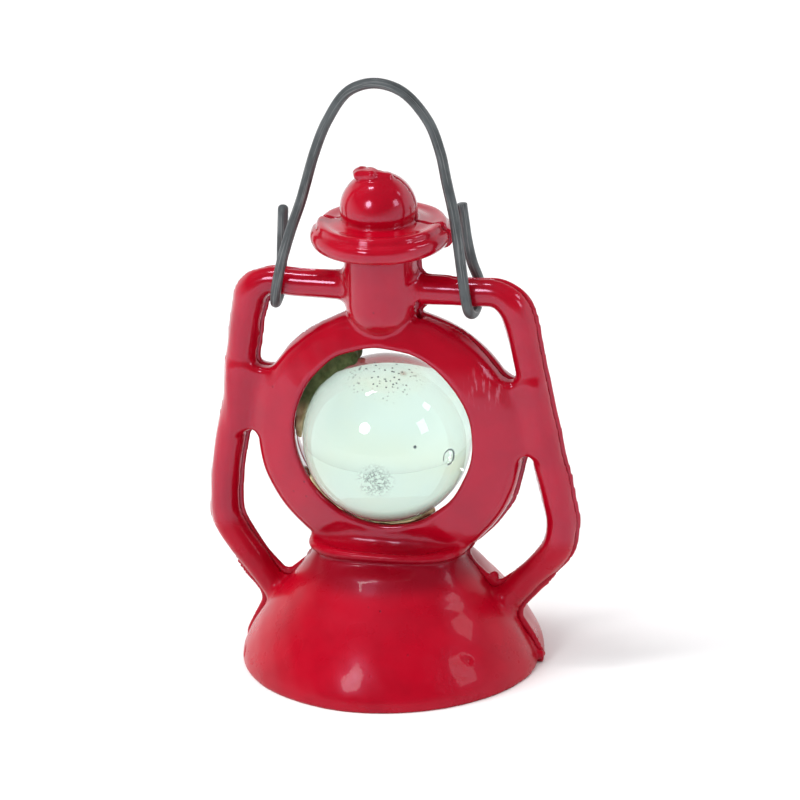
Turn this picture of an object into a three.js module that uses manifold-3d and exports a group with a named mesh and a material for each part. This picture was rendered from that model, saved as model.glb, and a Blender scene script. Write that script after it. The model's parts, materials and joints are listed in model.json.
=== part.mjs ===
// Miniature barn lantern: two cast half shells, a glass marble for a globe, and a wire bail.
//
// Millimetres, +Z up. The origin is under the middle of the base, on the surface it stands on.
// +X is the right-hand side seen from the front, and -Y is the front. The two halves of the
// casting meet on the plane y = 0.

import * as THREE from 'three';
import { mergeVertices } from 'three/addons/utils/BufferGeometryUtils.js';
import Module from 'manifold-3d';

// ---------------------------------------------------------------- driving dimensions

const ROUND = 40;                 // segments of the large round forms
const TUBE_SIDES = 10;            // sides of the frame tubes
const SEAM_GAP = 0.3;             // open seam between the two halves
const REAR_SHIFT = 0.3;           // the rear half sits this much to the right of the front half
const FIT_GAP = 0.15;             // clearance round a dowel

const BASE_RIM_R = 14.3;          // bell-shaped base, at the surface it stands on
const SHOULDER_R = 9.6;           // where the skirt meets the shoulder
const SHOULDER_Z = 8.0;
const SKIRT_WALL = 1.5;
const HOLLOW_ROOF_Z = 7.4;        // the base is hollow below this height

const FOOT_HALF_X = 7.0;          // block that carries the ring on the shoulder
const FOOT_HALF_Y = 4.6;
const FOOT_TOP_Z = 11.8;

const RING_X = 0.35;              // the ring that takes the place of a globe cage
const RING_Z = 22.25;
const RING_OUTER_R = 12.8;
const RING_DOME = [3.9, 0.0148];  // half its depth is the first less the second times radius squared
const HOLE_X = 0.4;               // its hole is a little off centre
const HOLE_Z = 22.95;
const HOLE_R = 9.35;              // at the seam
const HOLE_FLARE = 0.25;          // and so much wider for each millimetre towards the back

const NECK_R = 3.5;
const NECK_FOOT_Z = 32.4;         // the neck runs down over the ring and fades out here
const BRIM_R = 6.45;
const BRIM_LOW_Z = 41.3;
const BRIM_TOP_Z = 43.9;
const KNOB_X = -0.15;
const KNOB_R = 3.6;
const KNOB_Z = 44.95;

const ARM_Z = 37.1;               // the bail hangs and turns on the two arms
const ARM_R = 1.45;
const TUBE_R = 1.4;
const WEB_HALF_DEPTH = 1.2;       // plates between the tubes and the ring
const WEB_TOP_Z = 28.7;
const LEFT_WEB_LOW_Z = 22.2;
const RIGHT_WEB_LOW_Z = 21.4;

const MARBLE_R = 8.0;             // a standard 16 mm marble, sitting low in the hole
const MARBLE_Z = 22.05;
const CEMENT_HALF_DEPTH = 1.5;
const CEMENT_MARBLE_GAP = 0.08;
const CEMENT_WALL_GAP = 0.1;
const UPPER_CEMENT = [100, 178];  // what is left of the cement, in degrees about the marble,
const LOWER_CEMENT = [206, 300];  // anticlockwise from the right as seen from the front

const DOWEL_R = 0.6;
const DOWEL_HALF_LENGTH = 1.35;
const DOWEL_BORE_DEPTH = 1.5;

const WIRE_R = 0.5;               // bail wire
const HOOK_R = ARM_R + WIRE_R + 0.1;

// ---------------------------------------------------------------- solids and booleans

const wasm = await Module();
wasm.setup();

function toSolid(geometry) {
  const bare = geometry.clone();
  bare.deleteAttribute('normal');
  bare.deleteAttribute('uv');
  const merged = mergeVertices(bare, 1e-4);
  return new wasm.Manifold(new wasm.Mesh({
    numProp: 3,
    vertProperties: new Float32Array(merged.attributes.position.array),
    triVerts: new Uint32Array(merged.index.array),
  }));
}

function toGeometry(solid) {
  const mesh = solid.getMesh();
  const geometry = new THREE.BufferGeometry();
  geometry.setAttribute('position', new THREE.BufferAttribute(mesh.vertProperties, 3));
  geometry.setIndex(new THREE.BufferAttribute(mesh.triVerts, 1));
  geometry.computeVertexNormals();
  return geometry;
}

// A solid of revolution about the upright axis, from an outline of [radius, height] pairs.
function turned(outline, segments = ROUND) {
  const points = outline.map(([radius, height]) => new THREE.Vector2(radius, height));
  const geometry = new THREE.LatheGeometry(points, segments);
  geometry.rotateX(Math.PI / 2);
  return toSolid(geometry);
}

// A solid of revolution about a line along Y, from an outline of [radius, y] pairs.
function turnedAcross(outline, x, z, segments = ROUND) {
  const points = outline.map(([radius, y]) => new THREE.Vector2(radius, y));
  const geometry = new THREE.LatheGeometry(points, segments);
  geometry.translate(x, 0, z);
  return toSolid(geometry);
}

function box(low, high) {
  const size = high.map((value, i) => value - low[i]);
  const geometry = new THREE.BoxGeometry(...size);
  geometry.translate(...low.map((value, i) => value + size[i] / 2));
  return toSolid(geometry);
}

// A round pin along Y, centred on the seam.
function crossPin(x, z, radius, halfLength) {
  const geometry = new THREE.CylinderGeometry(radius, radius, 2 * halfLength, 12);
  geometry.translate(x, 0, z);
  return geometry;
}

// A round bar along a curve, closed at both ends.
function bar(curve, radius, steps, sides) {
  const section = new THREE.Shape();
  for (let i = 0; i < sides; i += 1) {
    const angle = (2 * Math.PI * i) / sides;
    const x = radius * Math.cos(angle);
    const y = radius * Math.sin(angle);
    if (i === 0) {
      section.moveTo(x, y);
    } else {
      section.lineTo(x, y);
    }
  }
  section.closePath();
  return new THREE.ExtrudeGeometry(section, { steps, extrudePath: curve, bevelEnabled: false });
}

// A path of straight runs. Each corner is a smooth bend that starts its own reach away.
function bentPath(corners, reaches) {
  const path = new THREE.CurvePath();
  let start = corners[0];
  for (let i = 1; i < corners.length - 1; i += 1) {
    const corner = corners[i];
    const into = corner.clone().sub(corners[i - 1]).normalize();
    const away = corners[i + 1].clone().sub(corner).normalize();
    const bendStart = corner.clone().addScaledVector(into, -reaches[i - 1]);
    const bendEnd = corner.clone().addScaledVector(away, reaches[i - 1]);
    path.add(new THREE.LineCurve3(start, bendStart));
    path.add(new THREE.QuadraticBezierCurve3(bendStart, corner, bendEnd));
    start = bendEnd;
  }
  path.add(new THREE.LineCurve3(start, corners[corners.length - 1]));
  return path;
}

// ---------------------------------------------------------------- the casting, as one form

// Bell skirt, and the shoulder that rises to the foot.
const SKIRT_OUTLINE = [
  [BASE_RIM_R - 0.2, 0],
  [BASE_RIM_R, 0.5],
  [BASE_RIM_R - 0.1, 1.3],
  [13.5, 2.9],
  [12.5, 4.6],
  [11.3, 6.2],
  [SHOULDER_R + 0.1, SHOULDER_Z - 0.6],
  [SHOULDER_R, SHOULDER_Z + 0.3],
  [8.6, 9.1],
  [7.6, 10.0],
  [6.4, 10.7],
];

function baseForm() {
  const outer = turned([[0, 0], ...SKIRT_OUTLINE, [0, 10.8]]);
  const hollow = turned([
    [0, -1],
    [BASE_RIM_R - SKIRT_WALL, -1],
    [BASE_RIM_R - SKIRT_WALL, 0.9],
    [13.5 - SKIRT_WALL, 2.4],
    [12.5 - SKIRT_WALL, 3.9],
    [11.3 - SKIRT_WALL, 5.4],
    [8.2, HOLLOW_ROOF_Z - 0.8],
    [6.4, HOLLOW_ROOF_Z],
    [0, HOLLOW_ROOF_Z],
  ]);
  return outer.subtract(hollow);
}

function footForm() {
  const outline = new THREE.Shape();
  outline.absellipse(0, 0, FOOT_HALF_X, FOOT_HALF_Y, 0, 2 * Math.PI, false, 0);
  const edge = 0.45;
  const geometry = new THREE.ExtrudeGeometry(outline, {
    depth: FOOT_TOP_Z - SHOULDER_Z - 2 * edge,
    bevelEnabled: true,
    bevelThickness: edge,
    bevelSize: edge,
    bevelOffset: -edge,
    bevelSegments: 2,
    curveSegments: 14,
  });
  geometry.translate(0, 0, SHOULDER_Z + edge);
  return toSolid(geometry);
}

function holeRadius(y) {
  return HOLE_R + HOLE_FLARE * y;
}

// The ring is a disc with domed faces and a blunt edge, cut by a hole that widens to the back.
// The hole is finished after casting, so it doesn't move with the disc.
function ringForm(shift) {
  const [thick, fall] = RING_DOME;
  const face = [0, 5, 7.5, 9, 10.5, 11.7].map((radius) => [radius, thick - fall * radius ** 2]);
  const edge = [...face, [RING_OUTER_R - 0.35, 1.15], [RING_OUTER_R, 0.45]];
  const front = edge.map(([radius, y]) => [radius, -y]);
  const disc = turnedAcross([...front, ...edge.reverse()], RING_X + shift, RING_Z);
  const past = 5;
  const hole = turnedAcross([
    [0, -past],
    [holeRadius(-past), -past],
    [holeRadius(past), past],
    [0, past],
  ], HOLE_X, HOLE_Z);
  return disc.subtract(hole);
}

function neckForm() {
  return turned([
    [0, NECK_FOOT_Z],
    [NECK_R - 1.2, NECK_FOOT_Z],
    [NECK_R - 0.3, NECK_FOOT_Z + 1.0],
    [NECK_R, NECK_FOOT_Z + 2.2],
    [NECK_R, BRIM_LOW_Z - 0.4],
    [NECK_R + 0.9, BRIM_LOW_Z + 0.2],
    [0, BRIM_LOW_Z + 0.2],
  ], 28);
}

function brimForm() {
  return turned([
    [0, BRIM_LOW_Z],
    [BRIM_R - 0.9, BRIM_LOW_Z],
    [BRIM_R - 0.2, BRIM_LOW_Z + 0.45],
    [BRIM_R, BRIM_LOW_Z + 1.1],
    [BRIM_R - 0.1, BRIM_LOW_Z + 1.7],
    [BRIM_R - 0.6, BRIM_TOP_Z - 0.3],
    [BRIM_R - 1.6, BRIM_TOP_Z],
    [0, BRIM_TOP_Z + 0.1],
  ], 32);
}

function knobForm() {
  const ball = new THREE.SphereGeometry(KNOB_R, 24, 14);
  ball.rotateX(Math.PI / 2);
  ball.translate(KNOB_X, 0, KNOB_Z);
  return toSolid(ball);
}

// What is left of the casting's feed, on top of the knob and a little to the left.
function feedForm() {
  const geometry = new THREE.SphereGeometry(1, 12, 8);
  geometry.scale(1.4, 0.9, 0.6);
  geometry.translate(KNOB_X - 0.9, 0, KNOB_Z + KNOB_R - 0.35);
  return toSolid(geometry);
}

// Each side of the frame runs out of the neck, down the outside, and in again to the base. A
// corner is its distance from the middle, its height, and how far its bend reaches.
const LEFT_FRAME = [
  [2.0, ARM_Z],
  [12.9, ARM_Z, 2.2],
  [14.3, 25.5, 3.0],
  [16.3, 13.0, 1.8],
  [10.9, 5.6],
];
const RIGHT_FRAME = [
  [2.0, ARM_Z],
  [12.9, ARM_Z, 3.2],
  [14.5, 26.5, 3.0],
  [16.8, 12.9, 2.2],
  [10.5, 5.8],
];

function frameTube(side, corners) {
  const points = corners.map(([x, z]) => new THREE.Vector3(side * x, 0, z));
  const reaches = corners.slice(1, -1).map((corner) => corner[2]);
  return toSolid(bar(bentPath(points, reaches), TUBE_R, 30, TUBE_SIDES));
}

function webForm(side, outerX, lowZ) {
  const xs = [side * 11.4, side * outerX];
  return box(
    [Math.min(...xs), -WEB_HALF_DEPTH, lowZ],
    [Math.max(...xs), WEB_HALF_DEPTH, WEB_TOP_Z],
  );
}

function castingForm(shift) {
  const parts = [
    footForm(),
    neckForm(),
    brimForm(),
    knobForm(),
    feedForm(),
    frameTube(-1, LEFT_FRAME),
    frameTube(1, RIGHT_FRAME),
    webForm(-1, 14.6, LEFT_WEB_LOW_Z),
    webForm(1, 14.8, RIGHT_WEB_LOW_Z),
  ];
  const form = parts.reduce((joined, part) => joined.add(part), baseForm());
  return form.translate([shift, 0, 0]).add(ringForm(shift));
}

// ---------------------------------------------------------------- dowels and the two halves

const RING_MIDDLE_R = (RING_OUTER_R + HOLE_R) / 2;
const DOWELS = [
  { name: 'neck_dowel', x: 0, z: ARM_Z - 0.4 },
  { name: 'left_ring_dowel', x: RING_X - RING_MIDDLE_R, z: HOLE_Z },
  { name: 'right_ring_dowel', x: RING_X + RING_MIDDLE_R, z: HOLE_Z },
  { name: 'foot_dowel', x: 0, z: 9.5 },
];

// What lies on one side of the seam, less the blind bores for the dowels.
function castingHalf(form, lowY, highY) {
  const reach = 70;
  const side = box([-reach, lowY, -reach], [reach, highY, reach]);
  const bores = DOWELS.map(({ x, z }) => toSolid(
    crossPin(x, z, DOWEL_R + FIT_GAP, DOWEL_BORE_DEPTH),
  ));
  return bores.reduce((half, bore) => half.subtract(bore), form.intersect(side));
}

// ---------------------------------------------------------------- glass, cement and bail

function marbleGeometry() {
  const geometry = new THREE.SphereGeometry(MARBLE_R, 28, 18);
  geometry.rotateX(Math.PI / 2);
  geometry.translate(0, 0, MARBLE_Z);
  return geometry;
}

// A slice of the space round the marble, between two angles.
function slice([from, to]) {
  const shape = new THREE.Shape();
  shape.moveTo(0, 0);
  for (const degrees of [from, (from + to) / 2, to]) {
    const angle = THREE.MathUtils.degToRad(degrees);
    shape.lineTo(2 * MARBLE_R * Math.cos(angle), 2 * MARBLE_R * Math.sin(angle));
  }
  shape.closePath();
  const depth = 2 * CEMENT_HALF_DEPTH + 2;
  const wedge = new THREE.ExtrudeGeometry(shape, { depth, bevelEnabled: false });
  wedge.rotateX(Math.PI / 2);
  wedge.translate(0, depth / 2, MARBLE_Z);
  return toSolid(wedge);
}

// A stretch of the bead of cement: a plug of the hole, hollowed out by the marble, and sliced.
function cementForm(angles) {
  const outline = [
    [0, -CEMENT_HALF_DEPTH],
    [holeRadius(-CEMENT_HALF_DEPTH) - CEMENT_WALL_GAP, -CEMENT_HALF_DEPTH],
    [holeRadius(CEMENT_HALF_DEPTH) - CEMENT_WALL_GAP, CEMENT_HALF_DEPTH],
    [0, CEMENT_HALF_DEPTH],
  ];
  const plug = turnedAcross(outline, HOLE_X, HOLE_Z);
  const room = new THREE.SphereGeometry(MARBLE_R + CEMENT_MARBLE_GAP, 40, 28);
  room.rotateX(Math.PI / 2);
  room.translate(0, 0, MARBLE_Z);
  return plug.subtract(toSolid(room)).intersect(slice(angles));
}

// A half turn under an arm, from its front to its back. The wire drifts along the arm in it.
function hook(frontX, lowX, backX) {
  return [180, 225, 270, 315, 360].map((degrees) => {
    const angle = THREE.MathUtils.degToRad(degrees);
    const back = (degrees - 180) / 180;
    const x = back < 0.5
      ? THREE.MathUtils.lerp(frontX, lowX, 2 * back)
      : THREE.MathUtils.lerp(lowX, backX, 2 * back - 1);
    return new THREE.Vector3(x, HOOK_R * Math.cos(angle), ARM_Z + HOOK_R * Math.sin(angle));
  });
}

// The wire starts at a free end behind the left arm, turns under the arm and up in front of it,
// crosses over the top, and ends the same way on the right. It was bent by hand, so the two
// sides differ.
function bailPath() {
  const leftEnd = [[-9.9, HOOK_R, 43.6], [-10.1, HOOK_R, 40.4]];
  const over = [
    [-9.1, -2.0, 39.7],
    [-8.1, -2.0, 42.9],
    [-7.1, -1.6, 45.8],
    [-5.7, -1.3, 50.5],
    [-4.4, -1.2, 53.6],
    [-2.4, -1.0, 56.4],
    [0.1, -1.0, 57.3],
    [2.7, -1.0, 56.6],
    [5.1, -1.2, 54.0],
    [6.2, -1.3, 51.1],
    [6.8, -1.5, 48.2],
    [7.5, -1.9, 45.2],
    [7.9, -2.0, 42.0],
    [8.15, -2.0, 39.6],
  ];
  const rightEnd = [[8.15, HOOK_R, 39.3], [7.75, HOOK_R, 41.2], [7.3, HOOK_R, 45.0]];
  const place = (points) => points.map((point) => new THREE.Vector3(...point));
  return new THREE.CatmullRomCurve3([
    ...place(leftEnd),
    ...hook(-9.7, -10.3, -10.3).reverse(),
    ...place(over),
    ...hook(8.45, 8.7, 8.85),
    ...place(rightEnd),
  ], false, 'centripetal');
}

// ---------------------------------------------------------------- the assembly

const LOOKS = {
  enamel: { color: 0xb8001c, roughness: 0.16, metalness: 0 },
  glass: { color: 0xd6ebe2, roughness: 0.03, metalness: 0, transparent: true, opacity: 0.45 },
  cement: { color: 0xd9cfae, roughness: 0.8, metalness: 0 },
  wire: { color: 0x53585b, roughness: 0.45, metalness: 0.8 },
  steel: { color: 0x9a9c9e, roughness: 0.35, metalness: 0.9 },
};

function piece(name, geometry, look) {
  const mesh = new THREE.Mesh(geometry, new THREE.MeshStandardMaterial(LOOKS[look]));
  mesh.name = name;
  return mesh;
}

const past = 70;
const frontHalf = castingHalf(castingForm(0), -past, -SEAM_GAP / 2);
const rearHalf = castingHalf(castingForm(REAR_SHIFT), SEAM_GAP / 2, past);

const lantern = new THREE.Group();
lantern.add(piece('front_casting', toGeometry(frontHalf), 'enamel'));
lantern.add(piece('rear_casting', toGeometry(rearHalf), 'enamel'));
lantern.add(piece('glass_marble', marbleGeometry(), 'glass'));
lantern.add(piece('upper_cement', toGeometry(cementForm(UPPER_CEMENT)), 'cement'));
lantern.add(piece('lower_cement', toGeometry(cementForm(LOWER_CEMENT)), 'cement'));
lantern.add(piece('bail', bar(bailPath(), WIRE_R, 76, 8), 'wire'));
for (const { name, x, z } of DOWELS) {
  lantern.add(piece(name, crossPin(x, z, DOWEL_R, DOWEL_HALF_LENGTH), 'steel'));
}

export default lantern;
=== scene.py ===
"""Miniature barn lantern: enamelled castings, glass marble, bedding cement, dowels and wire bail.

The two halves of the casting are one form, described as a field of signed distances, cut at the
parting line and meshed here. The form's sizes are in millimetres; Blender's are in metres.
"""

import json
import math

import bpy
import numpy as np
from mathutils import Matrix, Vector


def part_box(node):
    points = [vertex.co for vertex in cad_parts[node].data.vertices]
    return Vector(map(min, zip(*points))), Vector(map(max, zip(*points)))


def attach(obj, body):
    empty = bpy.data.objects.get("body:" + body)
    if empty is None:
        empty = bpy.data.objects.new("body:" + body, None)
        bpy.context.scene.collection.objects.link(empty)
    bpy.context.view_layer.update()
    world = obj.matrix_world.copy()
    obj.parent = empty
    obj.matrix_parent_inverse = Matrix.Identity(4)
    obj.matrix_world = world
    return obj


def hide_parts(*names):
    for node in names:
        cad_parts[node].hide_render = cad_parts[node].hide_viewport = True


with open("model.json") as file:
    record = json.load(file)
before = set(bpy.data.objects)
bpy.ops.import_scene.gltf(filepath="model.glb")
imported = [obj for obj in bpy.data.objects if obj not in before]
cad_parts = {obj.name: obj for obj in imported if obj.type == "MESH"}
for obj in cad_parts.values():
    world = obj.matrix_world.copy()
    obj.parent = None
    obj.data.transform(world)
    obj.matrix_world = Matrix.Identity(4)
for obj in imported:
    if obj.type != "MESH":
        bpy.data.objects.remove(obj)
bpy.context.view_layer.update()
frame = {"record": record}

MM = 0.001


def node_box(name):
    """A CAD node's lowest and highest corners in millimetres."""
    low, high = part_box(name)
    return np.array(low) / MM, np.array(high) / MM


# ------------------------------------------------------------------ sizes, in millimetres

marble_low, marble_high = node_box("glass_marble")
MARBLE = (marble_low + marble_high) / 2
MARBLE_R = (marble_high - marble_low)[2] / 2
front_low, front_high = node_box("front_casting")
rear_low, rear_high = node_box("rear_casting")
REAR_SHIFT = rear_high[0] - front_high[0]      # the rear half sits a little to the right
BASE_R = -front_low[1]                         # the rim, where it stands
BAIL_PIVOT = np.array(frame["record"]["behaviour"]["joints"][0]["pos_m"]) / MM
ARM_Z = BAIL_PIVOT[2]

MESH_STEP = 0.23                               # grid of the castings' mesh
CEMENT_STEP = 0.13                             # grid of the cement's mesh
SEAM_GAP = 0.012                               # half of the open parting line
SEAM_ROUND = 0.22
SEAT_GAP = 0.08                                # room for the marble in the castings
CEMENT_GAP = 0.04                              # between the cement and what it holds

HOLLOW_ROOF_Z = 7.4
FOOT_HALF = (6.9, 4.8)
FOOT_LOW_Z = 8.0
FOOT_TOP_Z = 11.95
FOOT_SQUARENESS = 2.8                          # 2 is an ellipse, and more is boxier
FOOT_BEAD_R = 0.45
RING_X, RING_Z = 0.35, 22.25
RING_R = 12.8
RING_DOME = (3.98, 0.0148)                     # half depth: a - b * radius squared
HOLE_X, HOLE_Z = 0.22, 22.95
HOLE_R = 9.35                                  # at the seam
HOLE_NARROW = 1.025                            # taller than wide
HOLE_FLARE = 0.25                              # wider by this much per mm towards the back
NECK_R = 3.5
NECK_END_Z = 35.7
NECK_TOP_Z = 42.5
BRIM_LOW_Z = 41.3
KNOB = (-0.15, 0.0, 44.85)
KNOB_RADII = (3.6, 3.6, 3.5)
WEB_HALF_DEPTH = 1.2
WEB_TOP_Z = 28.6
WEB_LOW_Z = (22.3, 21.5)
WEB_MIDDLE_X, WEB_HALF_WIDTH = 13.0, 1.8
BORE_R = 0.75
BORE_PAST_PIN = 0.1                            # a bore is this much deeper than its pin
WIRE_R = 0.5
HOOK_R = 2.05

DOWELS = {name: np.mean(node_box(name), axis=0)
          for name in ("neck_dowel", "left_ring_dowel", "right_ring_dowel", "foot_dowel")}
DOWEL_R = 0.6
DOWEL_HALF_LENGTH = 1.35

CHIP = (6.95, -3.95, 0.0)                      # directions from the marble's centre
SMALL_CHIP = (-7.09, -1.15, 3.52)
DARK_DOT = (4.34, -6.47, 1.82)
SCRATCHES = (0.76, -7.84, -1.38)
SHADED_RIGHT_EDGE = (7.3, 0.65, -3.2)


# ------------------------------------------------------------------ distance fields


def smooth_min(a, b, reach):
    """The nearer of two forms, with a fillet of about that reach between them."""
    share = np.clip(0.5 + 0.5 * (b - a) / reach, 0.0, 1.0)
    return b + (a - b) * share - reach * share * (1.0 - share)


def smooth_max(a, b, reach):
    """What two forms share, with its edge rounded off."""
    return -smooth_min(-a, -b, reach)


def rise(value, start, reach):
    """0 up to the start and 1 past the reach, which is negative for a fall."""
    return np.clip((value - start) / reach, 0.0, 1.0)


def hump(value, reach, power=2):
    """1 in the middle, falling away past about that reach."""
    return np.exp(-((value / reach) ** power))


def ellipsoid(x, y, z, centre, radii):
    """Nearly the distance to an ellipsoid."""
    u = np.sqrt(((x - centre[0]) / radii[0]) ** 2 + ((y - centre[1]) / radii[1]) ** 2
                + ((z - centre[2]) / radii[2]) ** 2)
    return (u - 1.0) * min(radii)


def segment(x, y, z, start, end, radius):
    """The distance to a round-ended bar."""
    start, end = np.array(start, float), np.array(end, float)
    along = end - start
    t = ((x - start[0]) * along[0] + (y - start[1]) * along[1] + (z - start[2]) * along[2])
    t = np.clip(t / (along @ along), 0.0, 1.0)
    return np.sqrt((x - start[0] - t * along[0]) ** 2 + (y - start[1] - t * along[1]) ** 2
                   + (z - start[2] - t * along[2]) ** 2) - radius


class Table:
    """A function of two coordinates, worked out once on a grid and read by interpolation."""

    def __init__(self, function, low, high, step):
        self.low, self.step = low, step
        self.size = [int((high[i] - low[i]) / step) + 2 for i in (0, 1)]
        axes = [low[i] + step * np.arange(self.size[i]) for i in (0, 1)]
        self.values = function(*np.meshgrid(*axes, indexing="ij"))

    def __call__(self, u, v):
        cells, shares = [], []
        for i, value in enumerate((u, v)):
            place = np.clip((value - self.low[i]) / self.step, 0.0, self.size[i] - 1.001)
            cell = place.astype(np.int32)
            cells.append(cell)
            shares.append(place - cell)
        (i, j), (s, t) = cells, shares
        values = self.values
        return ((values[i, j] * (1 - s) + values[i + 1, j] * s) * (1 - t)
                + (values[i, j + 1] * (1 - s) + values[i + 1, j + 1] * s) * t)


def cut_corners(points, times=3):
    """A closed outline with its corners rounded off."""
    points = np.array(points, float)
    for _ in range(times):
        following = np.roll(points, -1, axis=0)
        pairs = [0.75 * points + 0.25 * following, 0.25 * points + 0.75 * following]
        points = np.stack(pairs, axis=1).reshape(-1, 2)
    return points


def outline_distance(points):
    """A function of (u, v): the signed distance to a closed outline, negative inside."""
    def distance(u, v):
        nearest = np.full(u.shape, np.inf)
        inside = np.zeros(u.shape, bool)
        for (u0, v0), (u1, v1) in zip(points, np.roll(points, -1, axis=0)):
            du, dv = u1 - u0, v1 - v0
            t = np.clip(((u - u0) * du + (v - v0) * dv) / (du * du + dv * dv + 1e-12), 0, 1)
            nearest = np.minimum(nearest, np.hypot(u - u0 - t * du, v - v0 - t * dv))
            if dv:
                inside ^= ((v0 <= v) != (v1 <= v)) & (u < u0 + (v - v0) * du / dv)
        return np.where(inside, -nearest, nearest)
    return distance


def smooth_path(points, per_span):
    """A centripetal Catmull-Rom curve through the points, ends included."""
    points = np.array(points, float)
    ends = [2 * points[0] - points[1], *points, 2 * points[-1] - points[-2]]
    path = []
    for p0, p1, p2, p3 in zip(ends, ends[1:], ends[2:], ends[3:]):
        t1 = np.linalg.norm(p1 - p0) ** 0.5
        t2 = t1 + np.linalg.norm(p2 - p1) ** 0.5
        t3 = t2 + np.linalg.norm(p3 - p2) ** 0.5
        for t in np.linspace(t1, t2, per_span, endpoint=False):
            a1 = ((t1 - t) * p0 + t * p1) / t1
            a2 = ((t2 - t) * p1 + (t - t1) * p2) / (t2 - t1)
            a3 = ((t3 - t) * p2 + (t - t2) * p3) / (t3 - t2)
            b1 = ((t2 - t) * a1 + t * a2) / t2
            b2 = ((t3 - t) * a2 + (t - t1) * a3) / (t3 - t1)
            path.append(((t2 - t) * b1 + (t - t1) * b2) / (t2 - t1))
    return np.array(path + [points[-1]])


class Waves:
    """Smooth, irregular waves: a seeded sum of sines, mostly between -1 and 1."""

    def __init__(self, seed, length, count=9):
        rng = np.random.default_rng(seed)
        directions = rng.normal(size=(count, 3))
        directions /= np.linalg.norm(directions, axis=1)[:, None]
        self.waves = directions * (2 * math.pi / length) * rng.uniform(0.6, 1.5, (count, 1))
        self.phases = rng.uniform(0, 2 * math.pi, count)

    def __call__(self, x, y, z):
        total = 0.0
        for (kx, ky, kz), phase in zip(self.waves, self.phases):
            total = total + np.sin(kx * x + ky * y + kz * z + phase)
        return total / math.sqrt(2 * len(self.phases))


# ------------------------------------------------------------------ the casting's form

# The bell-shaped base as a thin shell, from its axis out over the shoulder, down the skirt, and
# back inside: (radius, height).
BASE_OUTLINE = [
    (-3, 10.9), (5.0, 10.9), (6.2, 10.75), (7.0, 10.4), (7.8, 9.75), (8.5, 9.15),
    (9.15, 8.5), (9.75, 7.75), (10.7, 6.8), (11.9, 5.35), (13.0, 3.75), (13.9, 2.1),
    (BASE_R + 0.05, 0.9), (BASE_R + 0.1, -0.4), (BASE_R - 0.7, -1.2),
    (12.8, -0.8), (12.8, 0.9), (12.0, 2.4), (11.0, 3.9), (9.8, 5.4), (8.4, 6.5),
    (6.6, HOLLOW_ROOF_Z), (-3, HOLLOW_ROOF_Z),
]

# The brim has a domed top, a crisp ridge at its edge, and a fat bead under the ridge.
BRIM_OUTLINE = [
    (-3, 43.95), (3.6, 43.85), (4.6, 43.55), (5.2, 43.75), (5.75, 43.8), (5.95, 43.45),
    (5.95, 43.15), (6.35, 43.0), (6.6, 42.5), (6.5, 41.8), (6.0, 41.3), (5.0, 41.15),
    (3.8, BRIM_LOW_Z - 0.1), (-3, BRIM_LOW_Z - 0.1),
]

# The frame's tubes, from inside the neck down to the base: (x, z, radius).
LEFT_TUBE = [
    (-1.5, ARM_Z, 1.5), (-5.0, ARM_Z, 1.35), (-8.0, ARM_Z, 1.36), (-11.1, ARM_Z, 1.38),
    (-12.5, ARM_Z - 1.0, 1.5), (-13.05, 34.4, 1.45), (-13.5, 32.2, 1.4), (-14.2, 27.3, 1.45),
    (-14.45, 24.7, 1.45), (-15.25, 21.4, 1.45), (-15.75, 18.6, 1.4), (-16.05, 15.4, 1.4),
    (-15.95, 12.9, 1.45), (-14.3, 10.0, 1.45), (-11.5, 6.1, 1.5),
]
RIGHT_TUBE = [
    (1.5, ARM_Z, 1.5), (5.0, ARM_Z, 1.4), (8.5, ARM_Z, 1.36), (11.0, ARM_Z - 0.05, 1.38),
    (12.4, ARM_Z - 1.1, 1.5), (13.1, 34.2, 1.45), (13.6, 31.6, 1.4), (14.4, 27.4, 1.4),
    (14.85, 24.3, 1.45), (15.6, 20.4, 1.45), (16.3, 17.2, 1.45), (16.65, 14.6, 1.4),
    (16.25, 12.2, 1.45), (14.2, 9.6, 1.4), (11.0, 6.2, 1.5),
]

# Lumps of metal left on the seam of the base: (centre, radii).
SEAM_LUMPS = [
    ((14.35, 0.0, 0.95), (0.55, 0.45, 0.6)),
    ((9.85, 0.35, 8.5), (0.4, 0.3, 0.4)),
]

# Small cuts and knocks in the metal, under the enamel: (start, end, radius).
NICKS = [
    ((3.5, -0.9, 36.3), (3.5, -0.7, 35.3), 0.3),
    ((3.3, -1.4, 35.2), (3.35, -1.3, 34.5), 0.24),
    ((3.6, -0.4, 34.9), (3.6, -0.4, 34.3), 0.3),
    ((10.5, -2.5, 28.6), (11.2, -2.3, 27.4), 0.16),
    ((9.2, -9.2, 4.2), (9.7, -8.9, 3.7), 0.35),
    ((-13.6, -4.6, 1.5), (-13.4, -4.9, 0.9), 0.3),
]


def tube_table(controls):
    """For a point's (x, z): its distance in the seam's plane from the tube's middle line, less
    how much the tube's radius differs there from the mean."""
    path = smooth_path(controls, 8)

    def nearest(u, v):
        best = np.full(u.shape, np.inf)
        radius = np.zeros(u.shape)
        for (u0, v0, r0), (u1, v1, r1) in zip(path, path[1:]):
            du, dv = u1 - u0, v1 - v0
            t = np.clip(((u - u0) * du + (v - v0) * dv) / (du * du + dv * dv), 0, 1)
            gap = np.hypot(u - u0 - t * du, v - v0 - t * dv)
            nearer = gap < best
            best = np.where(nearer, gap, best)
            radius = np.where(nearer, r0 + (r1 - r0) * t, radius)
        return best, radius

    low, high = path[:, :2].min(0) - 5, path[:, :2].max(0) + 5
    gap_table = Table(lambda u, v: nearest(u, v)[0], low, high, 0.12)
    radius_table = Table(lambda u, v: nearest(u, v)[1], low, high, 0.12)

    def distance(x, y, z):
        return np.sqrt(gap_table(x, z) ** 2 + y * y) - radius_table(x, z)
    return distance


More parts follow.
